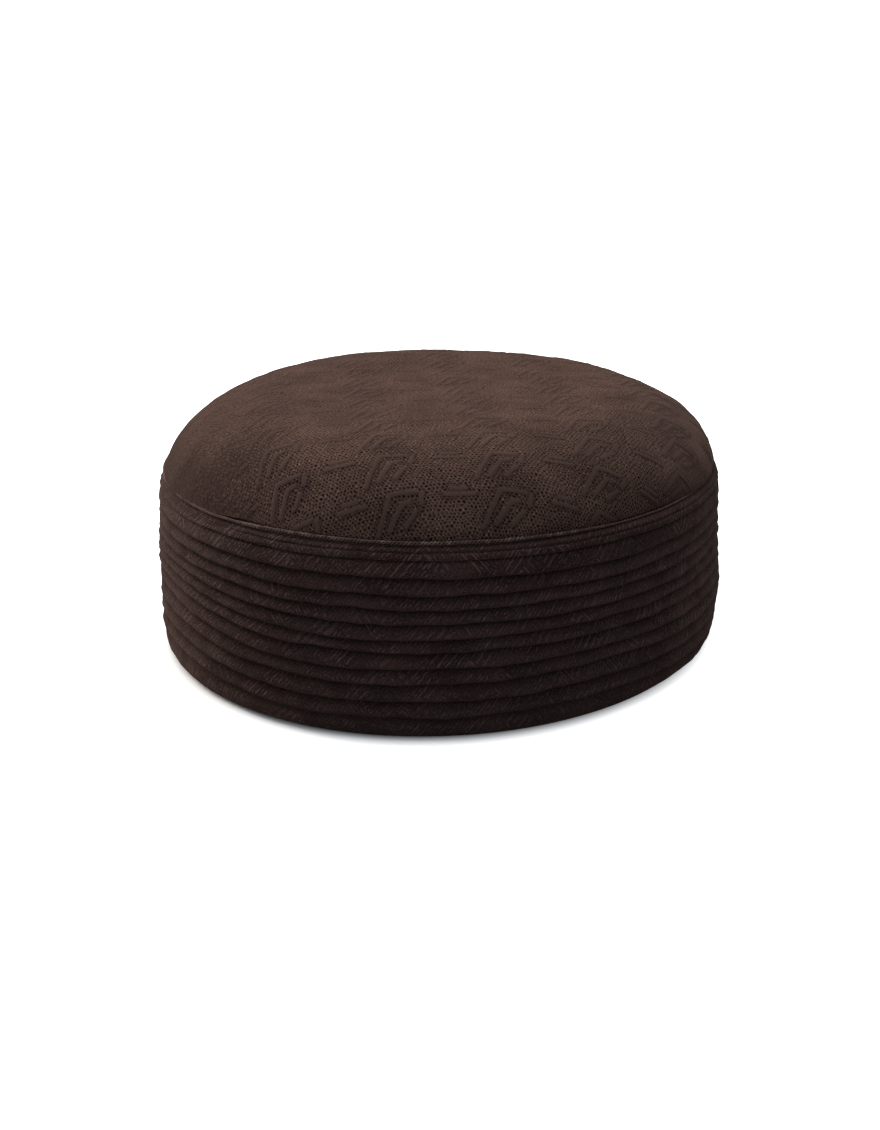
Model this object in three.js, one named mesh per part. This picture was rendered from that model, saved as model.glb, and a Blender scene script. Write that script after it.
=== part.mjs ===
// A round, flat-topped cap of dark brown cloth: a side band of stitched-down tucks, a padded crown
// let into the band's top edge, and a thin welt along the seam between them.
// Millimetres. Z is up, the front of the head is towards -Y, and the origin is on the surface that
// the cap rests on, under its middle.
import * as THREE from "three";
import { mergeVertices } from "three/addons/utils/BufferGeometryUtils.js";

// Plan: an oval. A piece's radius is measured across the head, along X, and the oval is longer
// along Y by the same amount at every wall, so a wall keeps its thickness all the way round.
const OVAL_EXTRA = 12; // half the difference between the cap's length and its width
const OVAL_FULL_RADIUS = 80; // radius from which the whole extra length counts
const SEGMENTS = 64; // steps round the cap
const MERGE_DISTANCE = 1e-4;

// Band
const GROOVE_DEPTH = 1.3; // how far a groove between two tucks lies behind their crests
const CREASE_DEPTH = 0.4; // the shallow stitched line half way down the first row
const INNER_REACH = 2.0; // what lies deeper than this behind the crests doesn't follow the humps

// Crest line of the band's outer face, from the edge that it rests on up to the seam.
const CREST_LINE = [
  { height: 0.0, radius: 84.6 },
  { height: 1.2, radius: 87.1 },
  { height: 3.0, radius: 88.6 },
  { height: 6.1, radius: 89.2 },
  { height: 16.8, radius: 89.7 },
  { height: 30.0, radius: 89.6 },
  { height: 46.6, radius: 89.0 },
  { height: 52.0, radius: 88.4 },
  { height: 54.6, radius: 87.6 },
  { height: 55.6, radius: 86.7 },
];
const HEM_POINTS = 3; // the first points of the crest line are the rolled hem under the last tuck
const TOP_POINTS = 3; // and the last ones are the edge that rounds in to the seam

// The grooves aren't level: they rise over two long, low humps. middle: degrees from the front
// towards +X. reach: degrees that the hump spreads to each side.
const HUMPS = [
  { name: "right", middle: -41, reach: 39 },
  { name: "left", middle: 46, reach: 34 },
];

// The tucks, from the top down. foot: height of the groove under the row. right and left: how far
// that groove rises in the middle of each hump.
const TUCKS = [
  { row: "wide top row", foot: 47.2, right: 0.5, left: -0.2 },
  { row: "tuck 1", foot: 42.7, right: 0.8, left: -0.2 },
  { row: "tuck 2", foot: 38.6, right: 1.3, left: 0.1 },
  { row: "tuck 3", foot: 34.5, right: 1.9, left: 0.2 },
  { row: "tuck 4", foot: 30.2, right: 2.9, left: 0.5 },
  { row: "tuck 5", foot: 26.3, right: 3.1, left: 0.6 },
  { row: "tuck 6", foot: 21.5, right: 3.6, left: 0.9 },
  { row: "tuck 7", foot: 17.0, right: 3.3, left: 1.0 },
  { row: "tuck 8", foot: 11.8, right: 3.0, left: 1.2 },
  { row: "tuck 9", foot: 7.0, right: 2.6, left: 0.9 },
];
const CREASE_HEIGHT = 51.9; // of the stitched line in the wide top row

// Section of one tuck, from under the groove above it (share 1) down to its foot (share 0).
// behind: how far the cloth lies behind the crest line, as a share of the groove's depth.
const TUCK_SECTION = [
  { share: 0.74, behind: 0.42 },
  { share: 0.36, behind: 0.05 },
  { share: 0.09, behind: 0.16 },
];

// Inside of the band, from the seam down to the flat ring that the cap rests on.
const BAND_INSIDE = [
  { height: 55.6, radius: 84.7 },
  { height: 54.9, radius: 84.3 },
  { height: 51.0, radius: 85.5 },
  { height: 44.0, radius: 86.4 },
  { height: 20.0, radius: 86.8 },
  { height: 7.0, radius: 86.5 },
  { height: 2.4, radius: 84.6 },
  { height: 0.0, radius: 82.2 },
];

// Crown
const CROWN_BASE = 56.5; // height where the padded top comes out of the seam
const CROWN_RADIUS = 85.5; // of the padded top at the seam
const CROWN_RISE = 21.4; // from the seam to the middle of the top
const CROWN_WALL = 2.4; // cloth and padding
const CROWN_FLATNESS = 7.25; // exponent: how far the flat middle reaches out
const CROWN_SHOULDER = 1.28; // exponent: how upright the shoulder stands at the seam
const CROWN_STEPS = 12;
const ALLOWANCE_OUTER = 83.9; // the crown's seam allowance, turned down inside the band
const ALLOWANCE_INNER = 82.4;
const ALLOWANCE_FOOT = 50.5;
const ALLOWANCE_TOP = 56.1;

// Welt
const WELT_HEIGHT = 56.55;
const WELT_RADIUS = 86.35;
const WELT_THICKNESS = 1.3;
const WELT_SIDES = 6;

// Radius of the crest line at a height.
function crestRadius(height) {
  const held = THREE.MathUtils.clamp(height, 0, CREST_LINE.at(-1).height);
  const above = Math.max(1, CREST_LINE.findIndex((point) => point.height >= held));
  const [last, next] = [CREST_LINE[above - 1], CREST_LINE[above]];
  const share = (held - last.height) / (next.height - last.height);
  return THREE.MathUtils.lerp(last.radius, next.radius, share);
}

// How far one groove stands above its own height at an angle from the front.
function grooveRise(tuck, angle) {
  const rises = HUMPS.map((hump) => {
    const aside = Math.abs(THREE.MathUtils.radToDeg(angle) - hump.middle) / hump.reach;
    return (tuck[hump.name] * (1 + Math.cos(Math.PI * Math.min(1, aside)))) / 2;
  });
  return rises.reduce((sum, rise) => sum + rise, 0);
}

// The same at any height of the band's face: nothing at the crease and at the hem, and between two
// grooves a share of each.
function faceRise(height, angle) {
  const hemHeight = CREST_LINE[HEM_POINTS - 1].height;
  const stops = [
    { height: CREASE_HEIGHT, rise: 0 },
    ...TUCKS.map((tuck) => ({ height: tuck.foot, rise: grooveRise(tuck, angle) })),
    { height: hemHeight, rise: 0 },
  ];
  const below = stops.findIndex((stop) => stop.height <= height);
  if (below <= 0) return 0;
  const [upper, lower] = [stops[below - 1], stops[below]];
  const share = (height - lower.height) / (upper.height - lower.height);
  return THREE.MathUtils.lerp(lower.rise, upper.rise, share);
}

// Turns a closed section round the Z axis and stretches the ring to the oval plan. lift gives how far
// a point is moved up, from its radius, its angle from the front and its height.
function ovalRing(section, lift = () => 0) {
  const turned = new THREE.LatheGeometry(section, SEGMENTS);
  turned.rotateX(Math.PI / 2);
  turned.deleteAttribute("normal");
  turned.deleteAttribute("uv");
  const geometry = mergeVertices(turned, MERGE_DISTANCE);
  const position = geometry.getAttribute("position");
  for (let i = 0; i < position.count; i++) {
    const [x, y, z] = [position.getX(i), position.getY(i), position.getZ(i)];
    const radius = Math.hypot(x, y);
    if (radius < MERGE_DISTANCE) continue;
    const reach = Math.min(1, radius / OVAL_FULL_RADIUS);
    const longer = OVAL_EXTRA * Math.sin((reach * Math.PI) / 2);
    position.setY(i, (y * (radius + longer)) / radius);
    position.setZ(i, z + lift(radius, Math.atan2(x, -y), z));
  }
  return geometry;
}

function finished(geometry, name, colour, roughness) {
  geometry.computeVertexNormals();
  const material = new THREE.MeshStandardMaterial({ color: colour, roughness, metalness: 0 });
  const mesh = new THREE.Mesh(geometry, material);
  mesh.name = name;
  return mesh;
}

// Outer face of the band from the resting ring up to the seam: hem, tucks, creased top row.
function bandFace() {
  const face = CREST_LINE.slice(0, HEM_POINTS);
  const groove = (height, depth) => ({ height, radius: crestRadius(height) - depth });
  const row = (foot, top, depth) =>
    TUCK_SECTION.toReversed().map((point) =>
      groove(THREE.MathUtils.lerp(foot, top, point.share), point.behind * depth),
    );
  for (let i = TUCKS.length - 1; i > 0; i--) {
    face.push(groove(TUCKS[i].foot, GROOVE_DEPTH));
    face.push(...row(TUCKS[i].foot, TUCKS[i - 1].foot, GROOVE_DEPTH));
  }
  face.push(groove(TUCKS[0].foot, GROOVE_DEPTH));
  face.push(...row(TUCKS[0].foot, CREASE_HEIGHT, CREASE_DEPTH));
  face.push(groove(CREASE_HEIGHT, CREASE_DEPTH));
  return [...face, ...CREST_LINE.slice(-TOP_POINTS)];
}

function makeBand() {
  const section = [...bandFace(), ...BAND_INSIDE].map(
    (point) => new THREE.Vector2(point.radius, point.height),
  );
  section.push(section[0].clone());
  const lift = (radius, angle, height) =>
    radius < crestRadius(height) - INNER_REACH ? 0 : faceRise(height, angle);
  return finished(ovalRing(section, lift), "band", 0x2a201e, 0.9);
}

// Height of the padded top over its base, at a share of its radius.
function crownRise(share, rise) {
  return rise * (1 - share ** CROWN_FLATNESS) ** (1 / CROWN_SHOULDER);
}

// One face of the crown from the axis out to an edge radius, with its points closer at the shoulder.
function crownFace(radius, rise) {
  return Array.from({ length: CROWN_STEPS + 1 }, (_, i) => {
    const share = 1 - (1 - i / CROWN_STEPS) ** 2;
    return new THREE.Vector2(radius * share, CROWN_BASE + crownRise(share, rise));
  });
}

function makeCrown() {
  const outside = crownFace(CROWN_RADIUS, CROWN_RISE);
  const inside = crownFace(ALLOWANCE_INNER, CROWN_RISE - CROWN_WALL);
  const allowance = [
    new THREE.Vector2(ALLOWANCE_OUTER, ALLOWANCE_TOP),
    new THREE.Vector2(ALLOWANCE_OUTER, ALLOWANCE_FOOT),
    new THREE.Vector2(ALLOWANCE_INNER, ALLOWANCE_FOOT),
  ];
  const section = [...outside, ...allowance, ...inside.reverse()].reverse();
  return finished(ovalRing(section), "crown", 0x4a3833, 0.9);
}

function makeWelt() {
  const section = Array.from({ length: WELT_SIDES + 1 }, (_, i) => {
    const angle = (2 * Math.PI * (i % WELT_SIDES)) / WELT_SIDES;
    const half = WELT_THICKNESS / 2;
    return new THREE.Vector2(
      WELT_RADIUS + half * Math.cos(angle),
      WELT_HEIGHT + half * Math.sin(angle),
    );
  });
  return finished(ovalRing(section), "seam_welt", 0x4a3833, 0.8);
}

const cap = new THREE.Group();
cap.add(makeBand(), makeCrown(), makeWelt());

export default cap;
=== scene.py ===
# %% [markdown]
# # A dark brown cap in stitched and padded cloth
# This lesson dresses a plain CAD model of a round, flat-topped cap. The model has three solids: the
# upright side band, the padded crown and the thin welt along the seam between them. Each of them is
# modelled again here as cloth, in the same place, and gets a woven material made of shader nodes.

import bisect
import math

import bmesh
import bpy
from mathutils import Matrix, Vector, noise


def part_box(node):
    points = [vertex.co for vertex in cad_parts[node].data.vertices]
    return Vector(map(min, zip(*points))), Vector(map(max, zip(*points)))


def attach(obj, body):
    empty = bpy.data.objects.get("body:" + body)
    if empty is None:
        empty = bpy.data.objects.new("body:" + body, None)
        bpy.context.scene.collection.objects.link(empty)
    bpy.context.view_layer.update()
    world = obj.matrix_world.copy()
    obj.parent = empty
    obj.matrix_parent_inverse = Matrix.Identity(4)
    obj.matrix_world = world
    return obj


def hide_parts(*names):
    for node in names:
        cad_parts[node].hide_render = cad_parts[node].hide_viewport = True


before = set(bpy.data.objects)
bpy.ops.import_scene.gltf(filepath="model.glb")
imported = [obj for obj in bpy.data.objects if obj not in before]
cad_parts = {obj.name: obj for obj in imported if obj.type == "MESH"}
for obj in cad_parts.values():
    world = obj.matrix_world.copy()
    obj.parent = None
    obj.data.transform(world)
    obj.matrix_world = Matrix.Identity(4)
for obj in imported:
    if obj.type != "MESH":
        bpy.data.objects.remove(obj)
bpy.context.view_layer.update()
MM = 0.001
for piece_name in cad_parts:
    low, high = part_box(piece_name)
    print(piece_name, [round(side / MM, 1) for side in high - low], "mm")

# %% [markdown]
# ## The camera
# The cap was looked down on from the front, a little from the wearer's left, through a longish lens
# from about half a metre. A camera can be turned towards an empty, or its rotation can be made from
# the line of sight. The second way leaves nothing extra in the scene, and the small roll of a camera
# held by hand is one more turn about that line.

# %% Camera
VIEW_TURN = math.radians(19.3)  # from the front towards +X
VIEW_RISE = math.radians(17.8)  # above the horizon
VIEW_DISTANCE = 480 * MM
AIM_POINT = Vector((0, 0, 28.15 * MM))
LENS = 45.9
ROLL = 0.011
SHIFT = (-0.0026, -0.0279)


def add_object(name, data):
    """A new object in the scene, at the origin."""
    made = bpy.data.objects.new(name, data)
    bpy.context.scene.collection.objects.link(made)
    return made


sight = Vector(
    (
        math.sin(VIEW_TURN) * math.cos(VIEW_RISE),
        -math.cos(VIEW_TURN) * math.cos(VIEW_RISE),
        math.sin(VIEW_RISE),
    )
)
lens = bpy.data.cameras.new("camera")
lens.lens = LENS
lens.sensor_width = 36
lens.shift_x, lens.shift_y = SHIFT
lens.clip_start = 0.01
camera = add_object("camera", lens)
camera.location = AIM_POINT + sight * VIEW_DISTANCE
look = sight.to_track_quat("Z", "Y").to_matrix()
camera.rotation_euler = (look @ Matrix.Rotation(ROLL, 3, "Z")).to_euler()
bpy.context.scene.camera = camera
print("camera at", [round(c, 4) for c in camera.location])

# %% [markdown]
# ## Numbers and sockets in one expression
# A weave is a sum of waves, distances and thresholds, so its shader is mostly arithmetic. Dozens of
# Math nodes wired by hand are hard to read. Here one small class wraps a socket and overloads Python's
# operators, so that a formula is written once, as a formula.

# %% Shader sockets as Python values
class Signal:
    """A socket in a node tree. Arithmetic on it adds Math nodes."""

    def __init__(self, tree, socket):
        self.tree = tree
        self.socket = socket

    def node(self, kind, settings, inputs, output=0):
        """One node of any type: its settings first, then the values or links of its sockets."""
        made = self.tree.nodes.new(kind)
        for key, value in settings.items():
            setattr(made, key, value)
        for key, value in inputs.items():
            if isinstance(value, Signal):
                self.tree.links.new(value.socket, made.inputs[key])
            else:
                made.inputs[key].default_value = value
        return Signal(self.tree, made.outputs[output])

    def part(self, axis):
        """The X, Y or Z of a vector."""
        return self.node("ShaderNodeSeparateXYZ", {}, {0: self}, output=axis)

    def math(self, operation, *values, clamp=False):
        settings = {"operation": operation, "use_clamp": clamp}
        return self.node("ShaderNodeMath", settings, dict(enumerate(values)))

    def __add__(self, other):
        return self.math("ADD", self, other)

    __radd__ = __add__

    def __sub__(self, other):
        return self.math("SUBTRACT", self, other)

    def __rsub__(self, other):
        return self.math("SUBTRACT", other, self)

    def __mul__(self, other):
        return self.math("MULTIPLY", self, other)

    __rmul__ = __mul__

    def __truediv__(self, other):
        return self.math("DIVIDE", self, other)


print("sockets can be added, subtracted, multiplied and divided")

# %% [markdown]
# ## Helpers for numbers and sockets alike
# Each of these takes either kind of value. Given a socket, it adds nodes and returns the new socket.
# Given plain numbers, it works the result out at once. So a mask can colour a cloth and raise it too.

# %% Steps, waves and limits
def signal_in(*values):
    """The first socket among the values, or None if they are all plain numbers."""
    return next((value for value in values if isinstance(value, Signal)), None)


def fract(x):
    """What is left of x after its whole part."""
    return x.math("FRACT", x) if signal_in(x) else x - math.floor(x)


def wave(x):
    """A cosine with a period of 1."""
    angle = x * (2 * math.pi)
    return x.math("COSINE", angle) if signal_in(x) else math.cos(angle)


def root(x):
    return x.math("SQRT", x) if signal_in(x) else math.sqrt(x)


def smaller(a, b):
    one = signal_in(a, b)
    return one.math("MINIMUM", a, b) if one else min(a, b)


def share(x):
    """x held between 0 and 1."""
    return x.math("ADD", x, 0.0, clamp=True) if signal_in(x) else max(0.0, min(1.0, x))


def ease(x, start, end):
    """0 before start, 1 after end, and a soft step between them."""
    if signal_in(x):
        settings = {"interpolation_type": "SMOOTHSTEP"}
        return x.node("ShaderNodeMapRange", settings, {"Value": x, "From Min": start, "From Max": end})
    t = share((x - start) / (end - start))
    return t * t * (3 - 2 * t)


def between(x, start, full, last, end):
    """0 before start, 1 from full to last, and 0 again after end."""
    return ease(x, start, full) * (1 - ease(x, last, end))


print("a soft step from 0 to 1 is at", ease(0.25, 0, 1), "after a quarter of its way")

# %% [markdown]
# ## The cloth's pattern
# The cloth is a tone-on-tone jacquard. Smooth raised bars lie on a ground of tiny pits: in each repeat
# two hooked bars and a plain one lean to one side, and two level dashes fill the space between. Each
# bar is a line from one point to another, and how far a place is from the nearest line says whether
# it is on a bar. Beside the bars the ground is darker, partly in the weave and partly as painted shade
# of the bars' relief.

# %% Pattern of the cloth
REPEAT_WIDE = 30.6  # mm
REPEAT_HIGH = 14.6
BARS = [  # from and to, in mm from the middle of a repeat
    {"x0": -14.6, "y0": -6.0, "x1": -8.8, "y1": 5.0},
    {"x0": -8.8, "y0": 5.0, "x1": -1.7, "y1": 4.8},
    {"x0": -10.6, "y0": -4.9, "x1": -6.2, "y1": 1.8},
    {"x0": -6.2, "y0": 1.8, "x1": -4.0, "y1": 2.0},
    {"x0": -6.0, "y0": -4.6, "x1": -2.8, "y1": -1.0},
    {"x0": -0.1, "y0": 4.1, "x1": -0.8, "y1": 1.2},
    {"x0": 8.2, "y0": 5.2, "x1": 12.2, "y1": 5.2},
    {"x0": 6.4, "y0": 3.3, "x1": 14.2, "y1": 3.3},
]
PIT_PITCH = 1.2  # mm from pit to pit along a row
PIT_ROWS = 1.9  # mm from a row to the next but one; the row between is shifted by half a pitch
FAR_AWAY = 1000.0  # mm, further than any bar or pit


def from_bars(u, v):
    """Distance in mm from a place on the cloth to the middle line of the nearest bar."""
    x = (fract(u / REPEAT_WIDE) - 0.5) * REPEAT_WIDE
    y = (fract(v / REPEAT_HIGH) - 0.5) * REPEAT_HIGH
    nearest = FAR_AWAY
    for bar in BARS:
        along_x, along_y = bar["x1"] - bar["x0"], bar["y1"] - bar["y0"]
        reach = along_x**2 + along_y**2
        px, py = x - bar["x0"], y - bar["y0"]
        t = share((px * along_x + py * along_y) / reach)
        dx, dy = px - t * along_x, py - t * along_y
        nearest = smaller(nearest, dx * dx + dy * dy)
    return root(nearest)


def from_pits(u, v):
    """Distance in mm from a place on the cloth to the middle of the nearest pit."""
    nearest = FAR_AWAY
    for shift in (0.0, 0.5):
        x = (fract(u / PIT_PITCH + shift) - 0.5) * PIT_PITCH
        y = (fract(v / PIT_ROWS + shift) - 0.5) * PIT_ROWS
        nearest = smaller(nearest, x * x + y * y)
    return root(nearest)


print(len(BARS), "bars in a repeat of", REPEAT_WIDE, "by", REPEAT_HIGH, "mm")

# %% [markdown]
# ## The oval plan
# A head is longer than it is wide. Each ring of the cap is first a circle, which spinning gives, and
# is then stretched towards the front and the back by one small amount. Moving the points in code
# keeps every wall as thick at the forehead as at the ears, where scaling the object would not.

# %% Oval plan
OVAL_EXTRA = 12.0  # mm, half the difference between length and width
OVAL_FULL_RADIUS = 80.0  # mm, from this radius on all of it counts
BAND_RADIUS = 89.0  # mm, about where the band's crests are


def around(place):
    """Radius of a place, and its angle from the front towards +X."""
    return math.hypot(place.x, place.y), math.atan2(place.x, -place.y)


def oval_extra(radius):
    return OVAL_EXTRA * math.sin(math.pi / 2 * min(1.0, radius / OVAL_FULL_RADIUS))


def oval_point(radius, angle, height):
    """Place in metres of a point at a radius in mm and an angle from the front."""
    x = radius * math.sin(angle)
    y = -(radius + oval_extra(radius)) * math.cos(angle)
    return Vector((x, y, height)) * MM


def round_angle(place, radius):
    """The angle from the front that a place on the oval had on its circle."""
    return math.atan2(place.x / radius, -place.y / (radius + oval_extra(radius)))


def girth(radius, angle):
    """Length in mm round the oval from the front to an angle."""
    half = oval_extra(radius) / 2
    return (radius + half) * angle - half / 2 * math.sin(2 * angle)


print("round the band:", round(2 * girth(BAND_RADIUS, math.pi)), "mm")

# %% [markdown]
# ## The side band
# The band is one strip of cloth, taken in by nine stitched tucks, so that each row laps over the next
# like a shingle. It could be a plain ring with a bump map, but the tucks cast shadows and notch the
# outline. So the section through the wall is drawn with every fold and spun round. The height of each
# groove comes from the CAD model, whose tables are repeated here.

# %% Tables of the band
CREST_LINE = [  # height, radius in mm
    (0.0, 84.6),
    (1.2, 87.1),
    (3.0, 88.6),
    (6.1, 89.2),
    (16.8, 89.7),
    (30.0, 89.6),
    (46.6, 89.0),
    (52.0, 88.4),
    (54.6, 87.6),
    (55.6, 86.7),
]
HUMPS = [  # the grooves rise over two long humps: middle and reach in degrees from the front
    {"name": "right", "middle": -41, "reach": 39},
    {"name": "left", "middle": 46, "reach": 34},
]
TUCKS = [  # height of the groove under the row, and how far it rises in the middle of each hump
    {"foot": 47.2, "right": 0.5, "left": -0.2},
    {"foot": 42.7, "right": 0.8, "left": -0.2},
    {"foot": 38.6, "right": 1.3, "left": 0.1},
    {"foot": 34.5, "right": 1.9, "left": 0.2},
    {"foot": 30.2, "right": 2.9, "left": 0.5},
    {"foot": 26.3, "right": 3.1, "left": 0.6},
    {"foot": 21.5, "right": 3.6, "left": 0.9},
    {"foot": 17.0, "right": 3.3, "left": 1.0},
    {"foot": 11.8, "right": 3.0, "left": 1.2},
    {"foot": 7.0, "right": 2.6, "left": 0.9},
]
CREASE_HEIGHT = 51.9
HEM_HEIGHT = 3.0  # below this the grooves' rise and fall has died out


def crest_radius(height):
    held = max(0.0, min(CREST_LINE[-1][0], height))
    for (low, start), (high, end) in zip(CREST_LINE, CREST_LINE[1:]):
        if held <= high:
            t = (held - low) / (high - low)
            return start + (end - start) * t
    return CREST_LINE[-1][1]


print(len(TUCKS), "grooves from", TUCKS[-1]["foot"], "to", TUCKS[0]["foot"], "mm")

# %% [markdown]
# ## One fold
# Each tuck is a small fold: it hangs over the groove below it with a rolled edge, is fullest just above
# that edge and slopes back under the tuck above. Its section is a share of the way up to the next
# groove, so one table serves rows of any width. The hem, the edge at the seam and the inside wall have
# their own points.

# %% Tables of one fold and of the edges
ROLLED_EDGE = [  # share of the way from the foot up to the next groove, mm up, mm behind the crests
    (0.0, 0.35, 1.60),
    (0.0, 0.05, 1.10),
    (0.0, -0.12, 0.55),
    (0.0, 0.05, 0.20),
]
TUCK_FACE = [
    *ROLLED_EDGE,
    (0.10, 0.10, 0.03),
    (0.22, 0.0, 0.0),
    (0.36, 0.0, 0.12),
    (0.50, 0.0, 0.34),
    (0.64, 0.0, 0.62),
    (0.78, 0.0, 0.92),
    (0.90, 0.0, 1.20),
    (0.97, 0.0, 1.42),
]
CREASE_FACE = [  # the same for the wide top row, which only a shallow stitched line divides
    *ROLLED_EDGE,
    (0.10, 0.0, 0.03),
    (0.30, 0.0, 0.0),
    (0.50, 0.0, 0.03),
    (0.70, 0.0, 0.10),
    (0.84, 0.0, 0.22),
    (0.94, 0.0, 0.5),
    (1.0, 0.0, 0.95),
]
HEM_FACE = [  # height, radius in mm, as in the two tables below
    (0.0, 84.6),
    (0.35, 85.75),
    (1.0, 86.85),
    (1.9, 87.7),
    (3.0, 88.35),
    (4.4, 88.7),
    (5.3, 88.6),
]
SEAM_EDGE = [
    (52.0, 87.75),
    (52.2, 88.2),
    (52.8, 88.4),
    (53.5, 88.25),
    (53.9, 87.95),
    (54.1, 87.45),
    (54.3, 87.6),
    (54.6, 87.65),
    (55.1, 87.3),
    (55.6, 86.3),
    (55.65, 85.5),
]
BAND_INSIDE = [
    (55.6, 84.7),
    (54.9, 84.3),
    (51.0, 85.5),
    (44.0, 86.4),
    (32.0, 86.7),
    (20.0, 86.8),
    (12.0, 86.8),
    (7.0, 86.5),
    (4.5, 85.8),
    (2.4, 84.6),
    (0.9, 83.0),
    (0.0, 82.2),
]
print(len(TUCK_FACE), "points in a fold,", len(BAND_INSIDE), "down the inside")

# %% [markdown]
# ## The section through the wall
# The fold is laid between each pair of grooves, set back from the crest line. The wide top row only
# has a shallow crease, and a fine nick where it turns in to the seam.

# %% Section of the band
def tuck_points(foot, top, table):
    points = []
    for part, up, behind in table:
        height = foot + (top - foot) * part + up
        points.append((height, crest_radius(height) - behind))
    return points


def band_section():
    """Closed outline of the wall as (height, radius), up the outside and down the inside."""
    section = list(HEM_FACE)
    grooves = [tuck["foot"] for tuck in TUCKS]
    for foot, top in zip(grooves[:0:-1], grooves[-2::-1]):
        section += tuck_points(foot, top, TUCK_FACE)
    section += tuck_points(grooves[0], CREASE_HEIGHT, CREASE_FACE)
    return section + SEAM_EDGE + BAND_INSIDE


section = band_section()
print(len(section), "points in the section of the band")

# %% [markdown]
# ## One turn of the section
# A section that is spun makes a ring with even faces, which a bend or a path of arrays would not. The
# spin operator is slow over many steps, so it makes one sector, and the sector is doubled and turned
# until the ring is whole. Each point notes how far along the section it lies.

# %% A ring from a section
DOUBLINGS = 4
SECTORS = 2**DOUBLINGS
WELD_DISTANCE = 0.001  # mm


def ring_bmesh(section, steps):
    """A closed section of (height, radius) points in mm, turned round the Z axis into a full ring."""
    bm = bmesh.new()
    along = bm.verts.layers.float.new("along")
    corners = [bm.verts.new((radius, 0, height)) for height, radius in section]
    distance = 0.0
    for corner, before in zip(corners, [corners[0], *corners]):
        distance += (corner.co - before.co).length
        corner[along] = distance
    edges = [bm.edges.new(pair) for pair in zip(corners, corners[1:] + corners[:1])]
    turn = 2 * math.pi / SECTORS
    bmesh.ops.spin(
        bm, geom=corners + edges, cent=(0, 0, 0), axis=(0, 0, 1), angle=turn, steps=steps // SECTORS
    )
    for _ in range(DOUBLINGS):
        copied = bmesh.ops.duplicate(bm, geom=bm.verts[:] + bm.edges[:] + bm.faces[:])["geom"]
        copied = [part for part in copied if isinstance(part, bmesh.types.BMVert)]
        bmesh.ops.rotate(bm, verts=copied, cent=(0, 0, 0), matrix=Matrix.Rotation(turn, 3, "Z"))
        turn *= 2
    bmesh.ops.remove_doubles(bm, verts=bm.verts[:], dist=WELD_DISTANCE)
    bmesh.ops.recalc_face_normals(bm, faces=bm.faces[:])
    return bm


print("a ring is spun as one of", SECTORS, "sectors")

# %% [markdown]
# ## The turned band
# The spun band is still round and even. Its faces deep behind the crests get the wrong side of the
# cloth, and each point notes how deep it lies, for the painted shade in the grooves. The pattern
# starts afresh above each groove, because every tuck hides some of the cloth.

# %% Spin the band
BAND_STEPS = 576
GROOVE_DEPTH = 1.6  # mm
INNER_SIDE = 1  # material slot of the wrong side of the cloth
INNER_START = 1.9  # mm behind the crests, where the wrong side begins
TUCKED_IN = 2.8  # mm of cloth that each tuck hides
TUCK_START = 0.2  # mm above a groove's height, where the cloth of the next tuck begins


def behind_crests(place):
    """How far a place in mm lies behind the crest line."""
    return crest_radius(place.z) - around(place)[0]


band_bm = ring_bmesh(section, BAND_STEPS)
for face in band_bm.faces:
    if behind_crests(face.calc_center_median()) > INNER_START:
        face.material_index = INNER_SIDE
hollow = band_bm.verts.layers.float.new("hollow")
along = band_bm.verts.layers.float["along"]
for corner in band_bm.verts:
    behind = behind_crests(corner.co)
    corner[hollow] = share(behind / GROOVE_DEPTH)
    if behind < INNER_START:
        corner[along] += TUCKED_IN * sum(tuck["foot"] + TUCK_START < corner.co.z for tuck in TUCKS)
print("band:", len(band_bm.faces), "faces")

# %% [markdown]
# ## Hand-made unevenness
# Tucks that are pinned and sewn by hand aren't level. Two long humps come from the CAD model, and two
# finer waves come from Perlin noise, which is smooth and always the same for the same place. Between
# two grooves the cloth follows both, each by its share.

# %% Let the grooves wander
WANDER = [  # patches of noise in a mm, mm up or down, and the noise's step from groove to groove
    {"per_mm": 0.05, "reach": 0.55, "step": 11.0},
    {"per_mm": 0.16, "reach": 0.3, "step": 7.0},
]


def groove_lift(index, angle, spot):
    """How far one groove is moved up, in mm, at an angle and at a spot of the round plan."""
    tuck = TUCKS[index]
    up = 0.0
    for hump in HUMPS:
        aside = min(1.0, abs(math.degrees(angle) - hump["middle"]) / hump["reach"])
        up += tuck[hump["name"]] * (1 + math.cos(math.pi * aside)) / 2
    for wander in WANDER:
        layer = Vector((0, 0, wander["step"] * index))
        up += noise.noise(spot * wander["per_mm"] + layer) * wander["reach"]
    return up


def face_lift(height, angle, spot):
    """How far the band's face is moved up at a height: a blend of the grooves above and below."""
    stops = [(CREASE_HEIGHT, None)]
    stops += [(tuck["foot"], index) for index, tuck in enumerate(TUCKS)]
    stops.append((HEM_HEIGHT, None))
    for (top, upper), (foot, lower) in zip(stops, stops[1:]):
        if foot <= height <= top:
            t = (height - foot) / (top - foot)
            above = 0.0 if upper is None else groove_lift(upper, angle, spot)
            below = 0.0 if lower is None else groove_lift(lower, angle, spot)
            return below + (above - below) * t
    return 0.0


print("a groove wanders by up to", round(sum(wander["reach"] for wander in WANDER), 2), "mm")

# %% [markdown]
# ## From round to oval
# Each point of the ring goes to its place on the oval, a little higher and further out than the even
# ring has it. The cloth puckers between the stitches by a tenth of a millimetre or two, and hangs a
# little slack over longer stretches. On the wearer's right, where the crown bulges over the seam, the
# band's upper edge is held in and its tucks are deeper. The inside wall stays as it is.

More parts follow.
